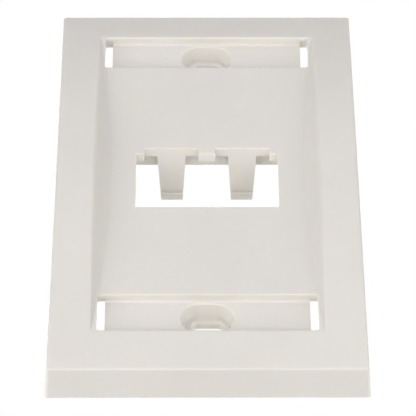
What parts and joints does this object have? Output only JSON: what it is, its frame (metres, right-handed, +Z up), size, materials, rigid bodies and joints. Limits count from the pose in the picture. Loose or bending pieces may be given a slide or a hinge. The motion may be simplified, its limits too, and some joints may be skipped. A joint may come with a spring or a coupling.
{
  "type": "modular wall plate",
  "caption": "Single-gang wall plate with an arched frame, sunken flat field, label recesses, screw wells and a window with snap tongues for jack modules.",
  "frame": {"origin": "centre of the back rim, in the plane that lies on the wall", "axes": "+X to the right as seen from the front, +Z up, front faces -Y, back faces +Y"},
  "size_m": [0.0698, 0.0208, 0.1142],
  "materials": {
    "plate_plastic": "fine matte moulded off-white"
  },
  "bodies": {
    "root": {"wall_plate": "plate_plastic"}
  },
  "joints": []
}
